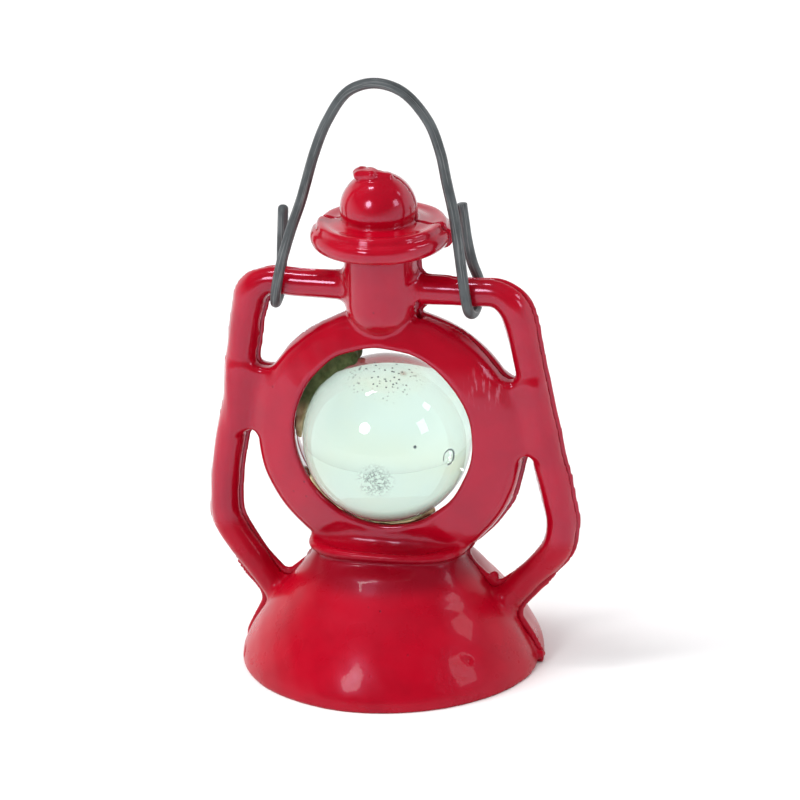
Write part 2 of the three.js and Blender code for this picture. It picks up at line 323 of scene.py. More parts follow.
base_table = Table(outline_distance(cut_corners(BASE_OUTLINE)), (-0.5, -2.0), (18.5, 15.0), 0.05)
brim_table = Table(outline_distance(cut_corners(BRIM_OUTLINE)), (-0.5, 37.0), (10.0, 49.0), 0.04)
left_tube = tube_table(LEFT_TUBE)
right_tube = tube_table(RIGHT_TUBE)
slow_waves = Waves(seed=11, length=9.0)
quick_waves = Waves(seed=12, length=2.6)
flash_waves = Waves(seed=13, length=4.0)
pucker_waves = Waves(seed=14, length=1.1)


def foot(x, y, z):
    """The oval block that carries the ring, and the bead round its top."""
    power = FOOT_SQUARENESS
    side = (np.abs(x) / FOOT_HALF[0]) ** power + (np.abs(y) / FOOT_HALF[1]) ** power
    side = (side ** (1 / power) - 1.0) * FOOT_HALF[1]
    block = smooth_max(smooth_max(side, z - FOOT_TOP_Z, 0.5), FOOT_LOW_Z - z, 0.2)
    return block, np.hypot(side - 0.1, z - FOOT_TOP_Z + 0.2) - FOOT_BEAD_R


def ring(x, y, z):
    """A disc with domed faces and a rounded edge."""
    radius = np.hypot(x - RING_X, z - RING_Z)
    depth = np.abs(y) - RING_DOME[0] + RING_DOME[1] * radius * radius
    return smooth_max(0.93 * depth, radius - RING_R, 1.2)


def ring_hole(x, y, z):
    """The ring's hole, which widens towards the back."""
    return (np.hypot((x - HOLE_X) * HOLE_NARROW, z - HOLE_Z) - HOLE_R - HOLE_FLARE * y) * 0.97


def neck(x, y, z):
    """A post whose rounded lower end stands a little proud of the ring."""
    below = np.minimum(z - NECK_END_Z, 0)
    return smooth_max(np.sqrt(x * x + y * y + below * below) - NECK_R, z - NECK_TOP_Z, 0.2)


def web(x, y, z, side, low_z):
    """A plate between a tube and the ring."""
    middle_z, half_z = (WEB_TOP_Z + low_z) / 2, (WEB_TOP_Z - low_z) / 2
    wide = np.abs(x - side * WEB_MIDDLE_X) - WEB_HALF_WIDTH
    deep = np.abs(y) - WEB_HALF_DEPTH
    high = np.abs(z - middle_z) - half_z
    return smooth_max(smooth_max(wide, deep, 0.4), high, 0.6)


def feed(x, y, z):
    """The curled stub of the casting's feed, on top of the knob."""
    stub = ellipsoid(x, y, z, (-1.1, -0.35, 48.3), (1.25, 0.8, 0.62))
    curl = segment(x, y, z, (-1.75, -1.0, 48.25), (-0.4, -1.2, 48.45), 0.38)
    fold = segment(x, y, z, (-0.3, -0.9, 48.45), (1.1, -0.5, 48.2), 0.3)
    lump = smooth_min(stub, curl, 0.25)
    return smooth_min(lump, fold, 0.3)


def nicks(x, y, z):
    """The distance to the nearest nick."""
    nearest = segment(x, y, z, *NICKS[0])
    for nick in NICKS[1:]:
        nearest = np.minimum(nearest, segment(x, y, z, *nick))
    return nearest


def cap(x, y, z, radius):
    """The brim, the knob on it, and the feed's stub."""
    form = smooth_min(brim_table(radius, z), ellipsoid(x, y, z, KNOB, KNOB_RADII), 0.22)
    return smooth_min(form, feed(x, y, z), 0.35)


def frame_side(x, y, z, tube, side, low_z):
    """One of the frame's tubes with its web."""
    return smooth_min(tube(x, y, z), web(x, y, z, side, low_z), 1.0)


def flash(x, y, z):
    """How far the thin fin on the seam stands out. There is none under the bail's hooks."""
    ridge = np.clip(0.10 + 0.16 * flash_waves(x, 0 * y, z), 0.0, 0.3)
    ridge = ridge * rise(z, 0.3, 0.8) * np.clip((42.0 - z) / 1.5, 0.25, 1.0)
    under_hooks = np.exp(-((np.abs(x) - 9.3) / 2.4) ** 4 - ((z - ARM_Z) / 2.5) ** 4)
    return ridge * hump(y, 0.32) * (1.0 - under_hooks)


def puckers(x, y, z):
    """How far the skin is drawn in and out round the feed's stub."""
    near_feed = np.exp(-((x + 0.6) ** 2 + y * y + (z - 48.3) ** 2) / 2.0)
    return 0.16 * pucker_waves(x, y, z) * near_feed


def marble_seat(x, y, z):
    """The distance to the marble's surface."""
    away = np.sqrt((x - MARBLE[0]) ** 2 + (y - MARBLE[1]) ** 2 + (z - MARBLE[2]) ** 2)
    return away - MARBLE_R


def base_hollow(radius, z):
    """Clears what the foot and the tubes would push into the hollow under the base."""
    roof = z - HOLLOW_ROOF_Z
    wall = radius - (13.0 - 0.68 * np.maximum(z, 0))
    return smooth_max(roof, wall, 1.0)


def casting_form(x, y, z, shift, swell):
    """The whole casting. The hole and the marble's seat don't move with the rear half, and at
    the seam the base swells or shrinks by its own amount."""
    hole = ring_hole(x, y, z) + 0.05 * quick_waves(0.6 * x, y, 0.6 * z)
    seat = marble_seat(x, y, z) - SEAT_GAP
    x = x - shift * rise(z, 6.0, 6.0) * rise(z, 44.8, -1.4)
    radius = np.hypot(x, y)
    block, bead = foot(x, y, z)
    form = smooth_min(ring(x, y, z), block, 0.8 + 1.4 * hump(x, 5.5, 4))
    form = smooth_min(form, base_table(radius, z), 1.5)
    form = smooth_min(form, bead, 0.3)
    form = smooth_min(form, neck(x, y, z), 0.3)
    form = smooth_min(form, cap(x, y, z, radius), 0.5)
    form = smooth_min(form, frame_side(x, y, z, left_tube, -1, WEB_LOW_Z[0]), 0.9)
    form = smooth_min(form, frame_side(x, y, z, right_tube, 1, WEB_LOW_Z[1]), 0.9)
    form = form - flash(x, y, z)
    form = form - swell * hump(y, 1.5) * rise(z, 9.6, -1.4)
    for place, size in SEAM_LUMPS:
        form = smooth_min(form, ellipsoid(x, y, z, place, size), 0.25)
    form = form - 0.05 * slow_waves(x, y, z) - 0.014 * quick_waves(x, y, z)
    form = form - puckers(x, y, z)
    form = smooth_max(form, -nicks(x, y, z), 0.12)
    form = smooth_max(form, -hole, 0.7)
    form = smooth_max(form, -seat, 0.15)
    form = smooth_max(form, -base_hollow(radius, z), 0.3)
    return smooth_max(form, -z, 0.18)


def casting_half(side, shift, swell):
    """One half of the casting, as a distance field."""
    def field(x, y, z):
        form = casting_form(x, y, z, shift, swell)
        for centre in DOWELS.values():
            bore = np.hypot(x - centre[0], z - centre[2]) - BORE_R
            bore = np.maximum(bore, np.abs(y) - DOWEL_HALF_LENGTH - BORE_PAST_PIN)
            form = np.maximum(form, -bore)
        return smooth_max(form, SEAM_GAP - side * y, SEAM_ROUND)
    return field


# ------------------------------------------------------------------ meshing a distance field


def sample_field(field, low, high, step, tile=14):
    """The field on a grid, worked out only near its surface. Elsewhere only its sign is right."""
    size = [int(math.ceil((high[i] - low[i]) / step)) + 1 for i in range(3)]
    axes = [low[i] + step * np.arange(size[i]) for i in range(3)]
    values = np.empty(size, np.float32)
    reach = 1.3 * step * tile * math.sqrt(3) / 2 + 1.2
    for i in range(0, size[0], tile):
        for j in range(0, size[1], tile):
            for k in range(0, size[2], tile):
                part = [axis[a:a + tile] for axis, a in zip(axes, (i, j, k))]
                middle = [np.array([axis.mean()]) for axis in part]
                centre = field(*middle)[0]
                block = (slice(i, i + tile), slice(j, j + tile), slice(k, k + tile))
                if abs(centre) > reach:
                    values[block] = centre
                else:
                    values[block] = field(*np.meshgrid(*part, indexing="ij"))
    return values


EDGES = [(a, b) for a in range(8) for b in range(a + 1, 8) if bin(a ^ b).count("1") == 1]


def surface_net(values, low, step):
    """Vertices and quads of the surface where the values change sign, one vertex a cell."""
    inside = values < 0
    corners = [(c >> 2 & 1, c >> 1 & 1, c & 1) for c in range(8)]
    size = [n - 1 for n in values.shape]
    count = np.zeros(size, np.int8)
    for di, dj, dk in corners:
        count += inside[di:di + size[0], dj:dj + size[1], dk:dk + size[2]]
    cells = np.argwhere((count > 0) & (count < 8))
    number = np.full(size, -1, np.int32)
    number[tuple(cells.T)] = np.arange(len(cells))
    at = np.stack([values[cells[:, 0] + di, cells[:, 1] + dj, cells[:, 2] + dk]
                   for di, dj, dk in corners], axis=1)
    total = np.zeros((len(cells), 3))
    hits = np.zeros(len(cells))
    for a, b in EDGES:
        crosses = (at[:, a] < 0) != (at[:, b] < 0)
        share = np.where(crosses, at[:, a] / np.where(crosses, at[:, a] - at[:, b], 1.0), 0.0)
        start, end = np.array(corners[a]), np.array(corners[b])
        total += crosses[:, None] * (start + share[:, None] * (end - start))
        hits += crosses
    points = np.array(low) + step * (cells + total / hits[:, None])

    quads = []
    for axis in range(3):
        ahead = np.roll(inside, -1, axis=axis)
        change = inside != ahead
        change[tuple(slice(-1, None) if i == axis else slice(None) for i in range(3))] = False
        others = [i for i in range(3) if i != axis]
        where = np.argwhere(change)
        keep = np.all(where[:, others] > 0, axis=1)
        keep &= np.all(where[:, others] < np.array(size)[others], axis=1)
        where = where[keep]
        around = []
        for du, dv in ((-1, -1), (0, -1), (0, 0), (-1, 0)):
            cell = where.copy()
            cell[:, others[0]] += du
            cell[:, others[1]] += dv
            around.append(number[tuple(cell.T)])
        quad = np.stack(around, axis=1)
        outward = inside[tuple(where.T)] ^ (axis == 1)
        quad[~outward] = quad[~outward][:, ::-1]
        quads.append(quad)
    return points, np.concatenate(quads)


def gradient(field, points, step=0.04):
    """The field's slope at each point."""
    slopes = []
    for axis in range(3):
        offset = np.zeros(3)
        offset[axis] = step
        slopes.append(field(*(points + offset).T) - field(*(points - offset).T))
    return np.stack(slopes, axis=1) / (2 * step)


def settle(field, points, times=3, most=0.2):
    """Moves the points onto the surface."""
    for _ in range(times):
        slope = gradient(field, points)
        steep = np.maximum((slope ** 2).sum(axis=1), 0.05)
        move = -(field(*points.T) / steep)[:, None] * slope
        length = np.linalg.norm(move, axis=1, keepdims=True)
        points = points + move * np.minimum(1.0, most / np.maximum(length, 1e-9))
    return points


def spread(points, quads, times=2):
    """Evens out the points by moving each towards the middle of its neighbours."""
    starts = quads.reshape(-1)
    ends = np.roll(quads, -1, axis=1).reshape(-1)
    for _ in range(times):
        total = np.zeros_like(points)
        count = np.zeros(len(points))
        for a, b in ((starts, ends), (ends, starts)):
            for axis in range(3):
                total[:, axis] += np.bincount(a, points[b, axis], len(points))
            count += np.bincount(a, minlength=len(points))
        points = 0.5 * points + 0.5 * total / count[:, None]
    return points


def new_piece(name, points, faces, material, smooth=True):
    """A mesh object from points in millimetres."""
    mesh = bpy.data.meshes.new(name)
    mesh.from_pydata([tuple(p) for p in np.asarray(points) * MM], [], [tuple(f) for f in faces])
    mesh.validate()
    mesh.polygons.foreach_set("use_smooth", [smooth] * len(mesh.polygons))
    mesh.materials.append(material)
    mesh.update()
    obj = bpy.data.objects.new(name, mesh)
    bpy.context.collection.objects.link(obj)
    return obj


def field_piece(name, field, low, high, step, material):
    """A mesh object of the surface where a distance field is 0."""
    values = sample_field(field, low, high, step)
    points, quads = surface_net(values, low, step)
    points = settle(field, spread(points, quads))
    return new_piece(name, points, quads.tolist(), material)


# ------------------------------------------------------------------ materials


class Nodes:
    """A short way to write a material's nodes."""

    def __init__(self, name):
        self.material = bpy.data.materials.new(name)
        self.material.use_nodes = True
        self.tree = self.material.node_tree
        self.shader = self.tree.nodes["Principled BSDF"]
        self.place = self.add("ShaderNodeTexCoord").outputs["Object"]

    def add(self, kind, **settings):
        node = self.tree.nodes.new(kind)
        for key, value in settings.items():
            if key in node.inputs:
                node.inputs[key].default_value = value
            else:
                setattr(node, key, value)
        return node

    def link(self, source, target):
        self.tree.links.new(source, target)

    def stretched(self, scale):
        node = self.add("ShaderNodeMapping", Scale=scale)
        self.link(self.place, node.inputs["Vector"])
        return node.outputs["Vector"]

    def noise(self, scale, detail=3.0, place=None, roughness=0.5):
        node = self.add("ShaderNodeTexNoise", Scale=scale, Detail=detail, Roughness=roughness)
        self.link(place or self.place, node.inputs["Vector"])
        return node.outputs["Fac"]

    def cells(self, scale):
        node = self.add("ShaderNodeTexVoronoi", Scale=scale)
        self.link(self.place, node.inputs["Vector"])
        return node.outputs["Distance"]

    def height(self):
        """How high a point is, in metres."""
        node = self.add("ShaderNodeSeparateXYZ")
        self.link(self.place, node.inputs[0])
        return node.outputs["Z"]

    def span(self, value, low, high, to_low=0.0, to_high=1.0):
        """Maps a range of values onto another, smoothly, and clamps it."""
        node = self.add("ShaderNodeMapRange", interpolation_type="SMOOTHSTEP")
        for key, number in (("From Min", low), ("From Max", high),
                            ("To Min", to_low), ("To Max", to_high)):
            node.inputs[key].default_value = number
        self.link(value, node.inputs["Value"])
        return node.outputs["Result"]

    def math(self, operation, a, b):
        node = self.add("ShaderNodeMath", operation=operation)
        for socket, value in zip(node.inputs, (a, b)):
            if isinstance(value, (int, float)):
                socket.default_value = value
            else:
                self.link(value, socket)
        return node.outputs[0]

    def near(self, centre, inner, outer):
        """1 within the inner distance (millimetres) of a point, 0 past the outer."""
        node = self.add("ShaderNodeVectorMath", operation="DISTANCE")
        node.inputs[1].default_value = [v * MM for v in centre]
        self.link(self.place, node.inputs[0])
        return self.span(node.outputs["Value"], inner * MM, outer * MM, 1.0, 0.0)

    def colour(self, share, low, high):
        node = self.add("ShaderNodeMix", data_type="RGBA")
        for socket, value in ((node.inputs[6], low), (node.inputs[7], high)):
            if isinstance(value, tuple):
                socket.default_value = (*value, 1.0)
            else:
                self.link(value, socket)
        self.link(share, node.inputs[0])
        return node.outputs[2]

    def bump(self, height, distance, strength=1.0, after=None):
        node = self.add("ShaderNodeBump", Strength=strength, Distance=distance)
        self.link(height, node.inputs["Height"])
        if after is not None:
            self.link(after, node.inputs["Normal"])
        return node.outputs["Normal"]

    def finish(self, **sockets):
        """Sets the shader's sockets. A key's underscores stand for spaces."""
        for key, value in sockets.items():
            socket = self.shader.inputs[key.replace("_", " ")]
            if isinstance(value, bpy.types.NodeSocket):
                self.link(value, socket)
            elif isinstance(value, tuple) and len(value) == 3:
                socket.default_value = (*value, 1.0)
            else:
                socket.default_value = value
        return self.material


def on_marble(direction):
    """The point of the marble's surface that lies in a direction from its centre."""
    direction = np.array(direction) / np.linalg.norm(direction)
    return MARBLE + MARBLE_R * direction


def enamel_material():
    """Thick red enamel over a casting: glossy and slightly wavy, with pits, scratches and
    scuffs in places, painted shade on the shoulder under the ring, and duller on the base."""
    n = Nodes("red_enamel")
    mottle = n.span(n.noise(260, 4), 0.35, 0.7)
    red = n.colour(mottle, (0.43, 0.0010, 0.0125), (0.37, 0.0008, 0.0105))
    pits = n.span(n.cells(900), 0.0, 0.16, 1.0, 0.0)
    pit_places = n.span(n.noise(180, 2), 0.6, 0.68)
    pits = n.math("MULTIPLY", pits, pit_places)
    red = n.colour(pits, red, (0.16, 0.003, 0.01))
    scratched = n.near((10.4, -2.3, 28.6), 0.8, 2.6)
    strokes = n.noise(1.0, 3, n.stretched((2600, 2600, 420)))
    strokes = n.math("MULTIPLY", n.span(strokes, 0.5, 0.68), scratched)
    scuffed = n.near((8.5, -10.5, 3.5), 1.0, 4.0)
    scuffs = n.math("MULTIPLY", n.span(n.noise(1400, 4), 0.42, 0.72), scuffed)
    marks = n.math("MAXIMUM", strokes, scuffs)
    red = n.colour(n.math("MULTIPLY", strokes, 0.45), red, (0.62, 0.22, 0.28))
    height = n.height()
    worn = n.span(height, 11.5 * MM, 14.0 * MM, 1.0, 0.0)
    # painted shade: the shoulder under the ring is darkened as if the ring shades it
    shoulder_painted_shade = n.math("MULTIPLY", n.span(height, 8.0 * MM, 9.8 * MM), n.near((0, 0, 10.5), 7.4, 9.6))
    shoulder_painted_shade = n.math("MULTIPLY", shoulder_painted_shade, n.span(height, 11.3 * MM, 12.2 * MM, 1.0, 0.0))
    red = n.colour(shoulder_painted_shade, red, (0.25, 0.0006, 0.008))
    rough = n.span(n.noise(420, 3), 0.3, 0.75, 0.1, 0.2)
    rough = n.math("ADD", rough, n.math("MULTIPLY", worn, 0.16))
    rough = n.math("ADD", rough, n.math("MULTIPLY", marks, 0.2))
    coat = n.math("SUBTRACT", 0.3, n.math("MULTIPLY", worn, 0.16))
    orange_peel = n.bump(n.noise(520, 2), 0.00006, 0.35)
    dents = n.bump(n.math("SUBTRACT", 1.0, pits), 0.00006, 0.6, orange_peel)
    cut = n.bump(n.math("SUBTRACT", 1.0, marks), 0.00003, 0.6, dents)
    shine = n.span(worn, 0.0, 1.0, 0.5, 0.2)
    return n.finish(Base_Color=red, Roughness=rough, IOR=1.5, Specular_IOR_Level=shine,
                    Specular_Tint=(1.0, 0.62, 1.0), Coat_Weight=coat, Coat_Roughness=0.05,
                    Normal=cut)


def glass_material():
    """Pale green glass with painted shade below and at its right edge, for the dark ring seen
    through it; specks, a rust spot, scratches, the outline of a chip and yellow streaks."""
    n = Nodes("marble_glass")
    specks = n.span(n.cells(2300), 0.16, 0.3, 1.0, 0.0)
    few = n.span(n.noise(800, 2), 0.42, 0.47)
    top = n.near((0.6, -2.4, MARBLE[2] + 7.4), 2.0, 4.2)
    specks = n.math("MULTIPLY", n.math("MULTIPLY", specks, few), top)
    dot = n.near(on_marble(DARK_DOT), 0.1, 0.22)
    specks = n.math("MAXIMUM", specks, dot)
    scribble = n.noise(1700, 5, roughness=0.7)
    lines = n.math("MULTIPLY", n.span(scribble, 0.44, 0.5), n.span(scribble, 0.5, 0.56, 1.0, 0.0))
    lines = n.math("MULTIPLY", lines, n.near(on_marble(SCRATCHES), 0.6, 2.2))
    chip = on_marble(CHIP)
    inside = n.span(n.near(chip, 0.6, 0.7), 0, 1, 1, 0)
    outline = n.math("MULTIPLY", n.near(chip, 0.76, 0.86), inside)
    gap = n.near(chip + np.array((-0.3, -0.4, -0.5)), 0.3, 0.5)
    outline = n.math("MULTIPLY", outline, n.math("SUBTRACT", 1.0, gap))
    lines = n.math("MAXIMUM", lines, outline)
    rust = n.near((2.3, -2.1, MARBLE[2] + 7.4), 0.1, 0.55)
    film = n.math("MULTIPLY", n.span(n.noise(240, 4), 0.45, 0.75), 0.5)
    streak = n.math("MULTIPLY", n.span(n.noise(1.0, 2, n.stretched((90, 90, 420))), 0.5, 0.72), 0.6)
    clear = n.colour(film, (0.64, 0.82, 0.74), (0.68, 0.82, 0.68))
    clear = n.colour(streak, clear, (0.72, 0.80, 0.58))
    # painted shade: the glass is darker towards the bottom, for the ring wall seen through it
    below = n.near((0.7, -2.8, MARBLE[2] - 7.45), 0.5, 5.5)
    clear = n.colour(below, clear, (0.36, 0.44, 0.32))
    # painted shade: the glass is darker at its right edge, for the ring wall seen through it
    edge = n.near(on_marble(SHADED_RIGHT_EDGE), 1.0, 4.0)
    clear = n.colour(edge, clear, (0.30, 0.42, 0.32))
    clear = n.colour(n.math("MULTIPLY", rust, 0.6), clear, (0.42, 0.26, 0.18))
    marks = n.math("MAXIMUM", specks, n.math("MULTIPLY", lines, 0.9))
    tint = n.colour(marks, clear, (0.05, 0.07, 0.08))
    see_through = n.span(n.math("MAXIMUM", marks, n.math("MULTIPLY", rust, 0.5)), 0, 1, 1.0, 0.25)
    rough = n.span(n.math("MAXIMUM", marks, n.math("MULTIPLY", film, 0.1)), 0.0, 1.0, 0.015, 0.5)
    uneven = n.bump(n.noise(300, 2), 0.00005, 0.2)
    return n.finish(Base_Color=tint, Roughness=rough, IOR=1.51, Transmission_Weight=see_through,
                    Normal=uneven)


def cement_material():
    """Cream cement, dark olive towards the top of the hole."""
    n = Nodes("bedding_cement")
    high = n.span(n.height(), (MARBLE[2] + 2) * MM, (MARBLE[2] + 4) * MM)
    grain = n.noise(900, 5, roughness=0.65)
    cream = n.colour(n.span(grain, 0.35, 0.65), (0.74, 0.62, 0.38), (0.50, 0.38, 0.2))
    dark_olive_top = n.colour(n.span(grain, 0.35, 0.65), (0.055, 0.085, 0.02), (0.11, 0.14, 0.05))
    tone = n.colour(high, cream, dark_olive_top)
    pores = n.bump(grain, 0.00012, 0.8)
    return n.finish(Base_Color=tone, Roughness=0.75, Specular_IOR_Level=0.35, Normal=pores)


def wire_material():
    """Dark drawn steel wire with a thin, blotchy grey oxide and brighter draw lines."""
    n = Nodes("bail_wire")
    around = n.add("ShaderNodeAttribute", attribute_name="draw")
    lengthways = n.add("ShaderNodeMapping", Scale=(1.0, 1.0, 0.05))
    n.link(around.outputs["Vector"], lengthways.inputs["Vector"])
    lines = n.noise(5.0, 3, lengthways.outputs["Vector"])
    blotch = n.span(n.noise(420, 4), 0.35, 0.7)
    steel = n.colour(blotch, (0.105, 0.118, 0.124), (0.065, 0.072, 0.076))
    steel = n.colour(n.span(lines, 0.52, 0.66), steel, (0.2, 0.21, 0.215))
    rough = n.span(n.noise(900, 3), 0.3, 0.7, 0.36, 0.55)
    drawn = n.bump(lines, 0.00004, 0.5)
    pitted = n.bump(n.noise(2600, 3), 0.00002, 0.5, drawn)
    return n.finish(Base_Color=steel, Metallic=0.55, Roughness=rough, Normal=pitted)


def dowel_material():
    """Bright steel pins with fine turning marks and a little tarnish."""
    n = Nodes("dowel_steel")
    turned = n.noise(1.0, 2, n.stretched((300, 9000, 300)))
    tarnish = n.span(n.noise(1200, 4), 0.4, 0.7)
    steel = n.colour(tarnish, (0.5, 0.5, 0.49), (0.3, 0.27, 0.23))
    rough = n.span(turned, 0.3, 0.7, 0.25, 0.45)
    return n.finish(Base_Color=steel, Metallic=0.95, Roughness=rough,
                    Normal=n.bump(turned, 0.00001, 0.6))


# ------------------------------------------------------------------ glass, cement, dowels, bail


def marble():
    """A marble a little out of round, with two chips."""
    material = glass_material()
    bpy.ops.mesh.primitive_ico_sphere_add(subdivisions=7, radius=1.0)
    obj = bpy.context.object
    obj.name = obj.data.name = "marble_glass_ball"
    mesh = obj.data
    ball = np.empty(len(mesh.vertices) * 3)
    mesh.vertices.foreach_get("co", ball)
    ball = ball.reshape(-1, 3)
    ball /= np.linalg.norm(ball, axis=1)[:, None]
    depth = 0.012 * Waves(seed=21, length=0.9)(*ball.T) + 0.012
    chips = [  # direction from the centre, width and depth in millimetres
        (CHIP, 0.7, 0.12),
        (SMALL_CHIP, 0.4, 0.14),
    ]
    rough = Waves(seed=22, length=0.07)(*ball.T)
    for direction, width, deep in chips:
        direction = np.array(direction) / np.linalg.norm(direction)
        away = MARBLE_R * np.arccos(np.clip(ball @ direction, -1, 1))
        edge = rise(away, width * (1 + 0.25 * rough), -0.14)
        depth += deep * (0.55 + 0.45 * rough) * edge
    points = MARBLE + ball * (MARBLE_R - depth)[:, None]
    mesh.vertices.foreach_set("co", (points * MM).reshape(-1))
    mesh.polygons.foreach_set("use_smooth", [True] * len(mesh.polygons))
    mesh.materials.append(material)
    mesh.update()
    return obj


def cement(name, start, stop, material):
    """A rough stretch of bead in the gap between marble and ring, between two angles."""
    start, stop = math.radians(start), math.radians(stop)
    lumps = Waves(seed=31, length=1.3)

    def field(x, y, z):
        about = np.arctan2(z - MARBLE[2], x - MARBLE[0]) % (2 * math.pi)
        wall = ring_hole(x, y, z) + CEMENT_GAP
        seat = marble_seat(x, y, z) - CEMENT_GAP
        below = rise(z, MARBLE[2] + 2, -4)
        front = -1.2 - 1.4 * below + 0.2 * lumps(x, 0 * y, z)
        faces = np.maximum(front - y, y - 1.6 - 0.2 * lumps(z, 0 * y, x))
        ends = np.maximum(start - about, about - stop) * MARBLE_R + 0.35 * lumps(y, z, x)
        form = smooth_max(wall, -seat, 0.05)
        form = smooth_max(form, faces, 0.2)
        return smooth_max(form, ends, 0.25)

    reach = HOLE_R + 1.2
    low = (HOLE_X - reach, -3.2, HOLE_Z - reach)
    high = (HOLE_X + reach, 2.6, HOLE_Z + reach)
    return field_piece(name, field, low, high, CEMENT_STEP, material)


def dowel(name, centre, material):
    """A steel pin across the seam, with turned chamfers and a drawn-down waist."""
    chamfer = 0.15
    profile = [
        (0.0, -DOWEL_HALF_LENGTH), (DOWEL_R - chamfer, -DOWEL_HALF_LENGTH),
        (DOWEL_R, -DOWEL_HALF_LENGTH + chamfer), (DOWEL_R, -0.35), (DOWEL_R - 0.04, -0.25),
        (DOWEL_R - 0.04, 0.25), (DOWEL_R, 0.35), (DOWEL_R, DOWEL_HALF_LENGTH - chamfer),
        (DOWEL_R - chamfer, DOWEL_HALF_LENGTH), (0.0, DOWEL_HALF_LENGTH),
    ]
    sides = 48
    points = [(centre[0], centre[1] + profile[0][1], centre[2])]
    for radius, along in profile[1:-1]:
        for i in range(sides):
            angle = 2 * math.pi * i / sides
            points.append((centre[0] + radius * math.cos(angle), centre[1] + along,
                           centre[2] - radius * math.sin(angle)))
    points.append((centre[0], centre[1] + profile[-1][1], centre[2]))
    faces = []
    rings = len(profile) - 2
    last = len(points) - 1
    for i in range(sides):
        j = (i + 1) % sides
        faces.append((0, 1 + j, 1 + i))
        for level in range(rings - 1):
            a, b = 1 + level * sides, 1 + (level + 1) * sides
            faces.append((a + i, a + j, b + j, b + i))
        faces.append((last, last - sides + i, last - sides + j))
    return new_piece(name + "_pin", points, faces, material, smooth=False)


def hook(front_x, low_x, back_x):
    """The half turn of wire under an arm, from its front to its back."""
    turn = []
    for degrees in (180, 225, 270, 315, 360):
        back = (degrees - 180) / 180
        if back < 0.5:
            x = front_x + (low_x - front_x) * 2 * back
        else:
            x = low_x + (back_x - low_x) * (2 * back - 1)
        angle = math.radians(degrees)
        turn.append((x, HOOK_R * math.cos(angle), ARM_Z + HOOK_R * math.sin(angle)))
    return turn


def bail_route():
    """The wire, from its free end behind the left arm, over the top, to the right one's."""
    over = [
        (-9.1, -2.0, 39.7), (-8.1, -2.0, 42.9), (-7.1, -1.6, 45.8), (-5.7, -1.3, 50.5),
        (-4.4, -1.2, 53.6), (-2.4, -1.0, 56.4), (0.1, -1.0, 57.3), (2.7, -1.0, 56.6),
        (5.1, -1.2, 54.0), (6.2, -1.3, 51.1), (6.8, -1.5, 48.2), (7.5, -1.9, 45.2),
        (7.9, -2.0, 42.0), (8.15, -2.0, 39.6),
    ]
    return [
        (-9.9, HOOK_R, 43.6), (-10.1, HOOK_R, 40.4),
        *hook(-9.7, -10.3, -10.3)[::-1], *over, *hook(8.45, 8.7, 8.85),
        (8.15, HOOK_R, 39.3), (7.75, HOOK_R, 41.2), (7.3, HOOK_R, 45.0),
    ]


def bail():
    """The wire swept along its route, with a nipped left end and a sheared right end."""
    path = smooth_path(bail_route(), 9)
    steps = np.linalg.norm(np.diff(path, axis=0), axis=1)
    along = np.concatenate([[0], np.cumsum(steps)])
    tangents = np.gradient(path, axis=0)
    tangents /= np.linalg.norm(tangents, axis=1)[:, None]
    side = np.cross(tangents[0], (0, 1, 0))
    side /= np.linalg.norm(side)
    sides = 28
    uneven = Waves(seed=41, length=9.0)
    points, draw = [], []

    def add_ring(centre, side, up, radius, distance, squash=1.0):
        for i in range(sides):
            angle = 2 * math.pi * i / sides
            points.append(centre + radius * (math.cos(angle) * side
                                             + squash * math.sin(angle) * up))
            draw.append((math.cos(angle), math.sin(angle), distance))

    for index, (centre, tangent) in enumerate(zip(path, tangents)):
        side = side - tangent * (side @ tangent)
        side /= np.linalg.norm(side)
        up = np.cross(tangent, side)
        radius = WIRE_R * (1 + 0.02 * float(uneven(*centre)))
        if index == 0:
            for back, share in ((0.34, 0.25), (0.3, 0.55), (0.2, 0.8), (0.09, 0.95)):
                add_ring(centre - back * tangent, side, up, radius * share, -back, 0.8)
        if index == len(path) - 1:
            add_ring(centre - 0.05 * tangent, side, up, radius, along[index])
            add_ring(centre, side, up, radius * 0.9, along[index])
        else:
            add_ring(centre, side, up, radius, along[index])
    rings = len(points) // sides
    faces = []
    for level in range(rings - 1):
        for i in range(sides):
            j = (i + 1) % sides
            a, b = level * sides, (level + 1) * sides
            faces.append((a + i, a + j, b + j, b + i))
    faces.append(tuple(range(sides))[::-1])
    faces.append(tuple((rings - 1) * sides + i for i in range(sides)))
    obj = new_piece("bail_wire", points, faces, wire_material())
    layer = obj.data.attributes.new("draw", "FLOAT_VECTOR", "POINT")
    layer.data.foreach_set("vector", np.array(draw).reshape(-1))
    return obj


# ------------------------------------------------------------------ the pieces on their bodies


def castings():
    """The front and rear halves. At the seam, the rear one's base is a little the larger."""
    material = enamel_material()
    margin = 0.6
    made = {}
    for name, side, shift, swell, low, high in (
        ("front_half", -1, 0.0, -0.2, front_low, front_high),
        ("rear_half", 1, REAR_SHIFT, 0.25, rear_low, rear_high),
    ):
        field = casting_half(side, shift, swell)
        low, high = low - margin, high + margin
        made[name] = field_piece(name, field, low, high, MESH_STEP, material)
    return made


halves = castings()
pin_steel = dowel_material()
mortar = cement_material()
pieces = [
    (halves["front_half"], "front_casting", "enamel", "lantern"),
    (halves["rear_half"], "rear_casting", "enamel", "lantern"),
    (marble(), "glass_marble", "glass", "lantern"),
    (cement("upper_cement_bead", 108, 178, mortar), "upper_cement", "cement", "lantern"),
    (cement("lower_cement_bead", 206, 296, mortar), "lower_cement", "cement", "lantern"),
    (bail(), "bail", "wire", "bail"),
]
for dowel_name, dowel_centre in DOWELS.items():
    pin = dowel(dowel_name, dowel_centre, pin_steel)
    pieces.append((pin, dowel_name, "steel", "lantern"))
for piece, node, slot, body in pieces:
    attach(piece, body)
    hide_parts(node)


# ------------------------------------------------------------------ floor, light and camera


